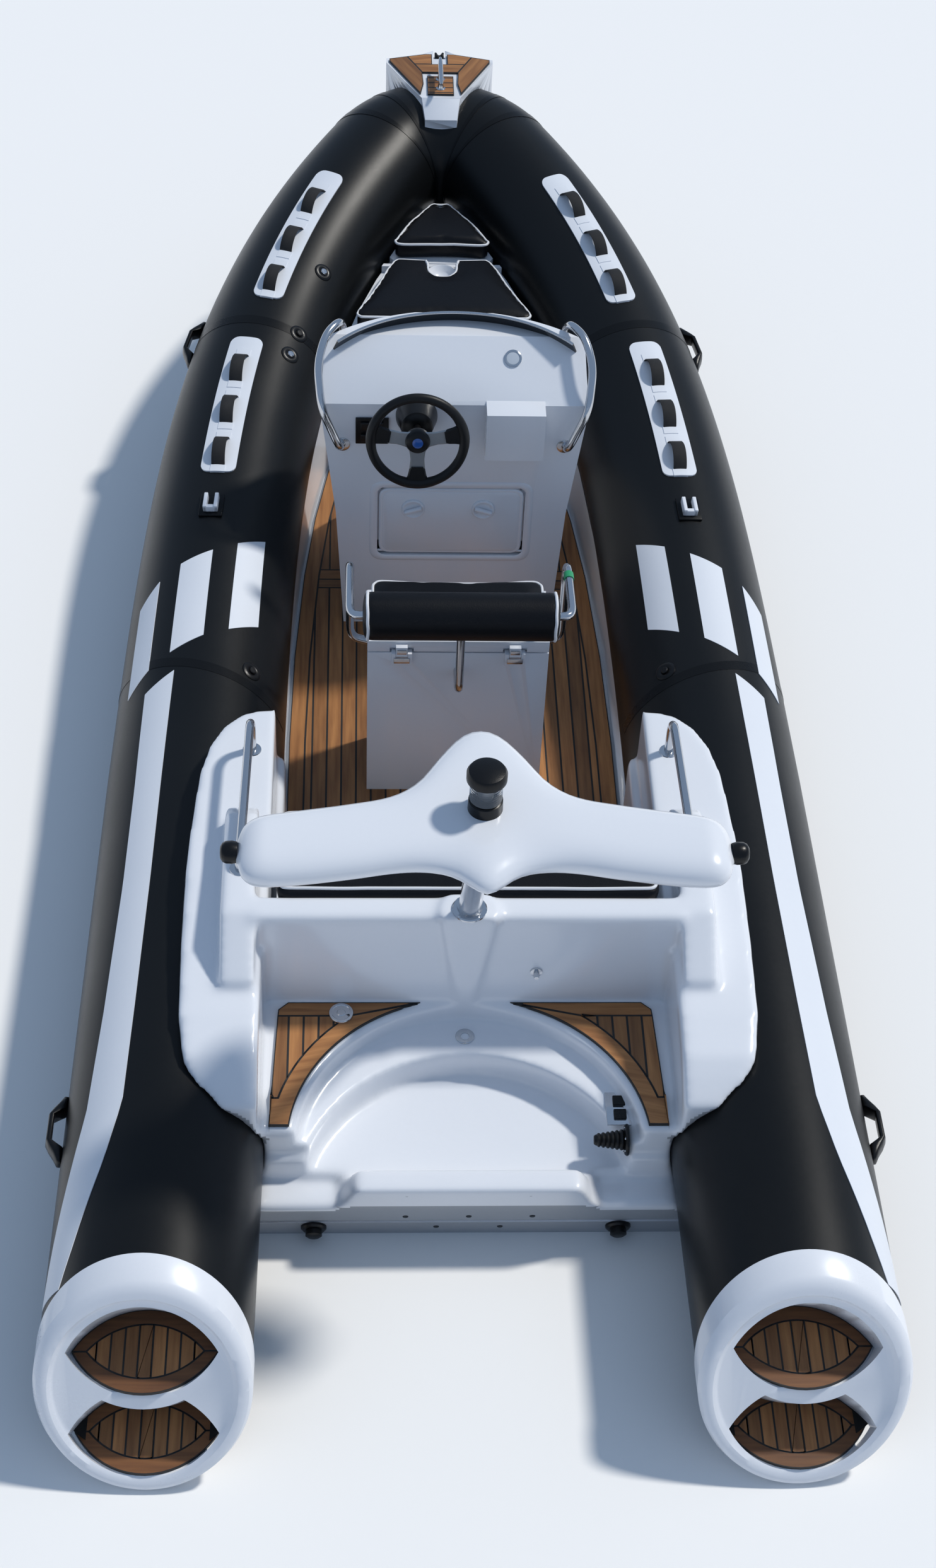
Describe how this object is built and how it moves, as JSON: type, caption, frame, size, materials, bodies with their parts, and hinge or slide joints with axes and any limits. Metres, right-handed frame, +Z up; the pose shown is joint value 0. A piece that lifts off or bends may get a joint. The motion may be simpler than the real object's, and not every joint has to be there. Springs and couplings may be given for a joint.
{
  "type": "rigid inflatable boat",
  "caption": "Rigid inflatable boat with black tubes, white deck mouldings, teak decking, steering console with wheel, leaning seat, stern bench, light arch and bow locker.",
  "frame": {"origin": "in the water plane, on the centre plane, under the aft edge of the transom's sill", "axes": "+X starboard, +Y to the bow, +Z up"},
  "size_m": [2.2046, 5.3623, 1.795],
  "materials": {
    "gelcoat": "gloss",
    "tube_fabric": "satin",
    "cap_white": "satin",
    "teak": "satin",
    "stainless": "polished",
    "black_plastic": "satin",
    "vinyl": "satin",
    "webbing": "matte",
    "smoked_screen": "gloss",
    "soft_rubber": "matte",
    "pad_white": "satin"
  },
  "bodies": {
    "boat": {"hull": "gelcoat", "cockpit_sole": "teak", "stern_moulding": "gelcoat", "tube_port_aft": "tube_fabric", "tube_starboard_aft": "tube_fabric", "tube_port_fwd": "tube_fabric", "tube_starboard_fwd": "tube_fabric", "tube_bow": "tube_fabric", "cap_port": "cap_white", "cap_starboard": "cap_white", "cap_treads": "teak", "bow_step": "gelcoat", "bow_step_teak": "teak", "roller_pin": "stainless", "bow_cleat": "stainless", "bow_locker": "gelcoat", "cushion_rear": "vinyl", "console": "gelcoat", "windscreen": "smoked_screen", "console_rails": "stainless", "helm": "black_plastic", "dash_fittings": "black_plastic", "seat_box": "gelcoat", "bolster": "vinyl", "seat_frame": "stainless", "bench_cushions": "vinyl", "arch": "gelcoat", "arch_post": "stainless", "beacon": "black_plastic", "nav_lights": "black_plastic", "stern_rails": "stainless", "stern_teak": "teak", "deck_fittings": "stainless", "cable_boot": "soft_rubber", "scuppers": "stainless", "strap_pads": "pad_white", "straps_port_aft": "webbing", "straps_port_fwd": "webbing", "straps_starboard_aft": "webbing", "straps_starboard_fwd": "webbing", "carry_handles": "black_plastic"},
    "wheel": {"steering_wheel": "black_plastic"},
    "hatch": {"console_hatch": "gelcoat"},
    "seat_top": {"seat_lid": "gelcoat", "seat_cushion": "vinyl"},
    "locker_top": {"locker_lid": "gelcoat", "cushion_front": "vinyl"},
    "roller": {"bow_roller": "soft_rubber"}
  },
  "joints": [
    {"name": "helm_turn", "type": "hinge", "parent": "boat", "child": "wheel", "pos_m": [-0.117, 2.19, 0.985], "axis": [0, -0.9781, 0.2079], "range_deg": [-630, 630]},
    {"name": "hatch_pivot", "type": "hinge", "parent": "boat", "child": "hatch", "pos_m": [0, 2.377, 0.398], "axis": [1, 0, 0], "range_deg": [0, 110]},
    {"name": "seat_lid_hinge", "type": "hinge", "parent": "boat", "child": "seat_top", "pos_m": [0, 1.5905, 0.6705], "axis": [1, 0, 0], "range_deg": [0, 52]},
    {"name": "locker_lid_hinge", "type": "hinge", "parent": "boat", "child": "locker_top", "pos_m": [0, 4.072, 0.586], "axis": [-1, 0, 0], "range_deg": [0, 50]},
    {"name": "roller_spin", "type": "hinge", "parent": "boat", "child": "roller", "pos_m": [0, 4.622, 0.884], "axis": [1, 0, 0], "continuous": true}
  ]
}
